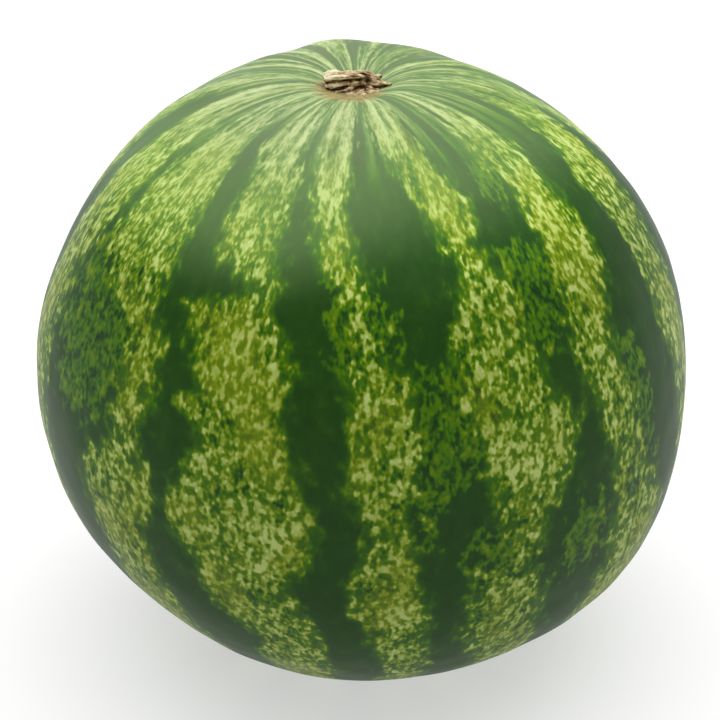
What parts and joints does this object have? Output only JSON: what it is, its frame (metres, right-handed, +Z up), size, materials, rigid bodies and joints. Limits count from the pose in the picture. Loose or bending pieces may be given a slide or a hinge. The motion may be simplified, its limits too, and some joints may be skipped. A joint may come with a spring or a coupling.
{
  "type": "watermelon",
  "caption": "Whole round striped watermelon standing on a small flat spot, with the dry stub of its stem in a shallow hollow on top.",
  "frame": {"origin": "on the ground under the middle of the fruit, at the centre of the bottom of its box", "axes": "+Z up through the stem hollow, -Y the front, +X to the right of the front"},
  "size_m": [0.2506, 0.2486, 0.2366],
  "materials": {
    "rind": "waxy skin with a soft sheen, dark green stripes and mottled yellow-green bands from stem to blossom end",
    "dry_stem": "dry, corky and ridged, pale tan with dark brown hollows"
  },
  "bodies": {
    "root": {"fruit": "rind", "stem_stub": "dry_stem"}
  },
  "joints": []
}
